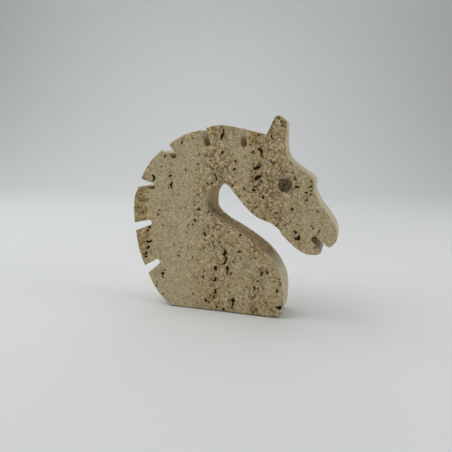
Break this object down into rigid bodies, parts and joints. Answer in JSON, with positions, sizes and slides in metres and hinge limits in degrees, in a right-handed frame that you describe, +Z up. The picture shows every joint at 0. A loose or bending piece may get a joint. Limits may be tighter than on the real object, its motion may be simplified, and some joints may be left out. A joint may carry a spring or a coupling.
{
  "type": "stone horse head ornament",
  "caption": "Free-standing horse's head in the outline of a chess knight, sawn from one slab of open-pored travertine, with a notched mane, a drilled eye and a flat base.",
  "frame": {"origin": "centre of the bounding box's bottom, on the flat base and half way through the slab", "axes": "+X the way the horse faces, +Y through the slab towards its back face, +Z up"},
  "size_m": [0.1758, 0.03, 0.1651],
  "materials": {
    "travertine": "honed, unfilled and unpolished"
  },
  "bodies": {
    "root": {"horse_head": "travertine"}
  },
  "joints": []
}
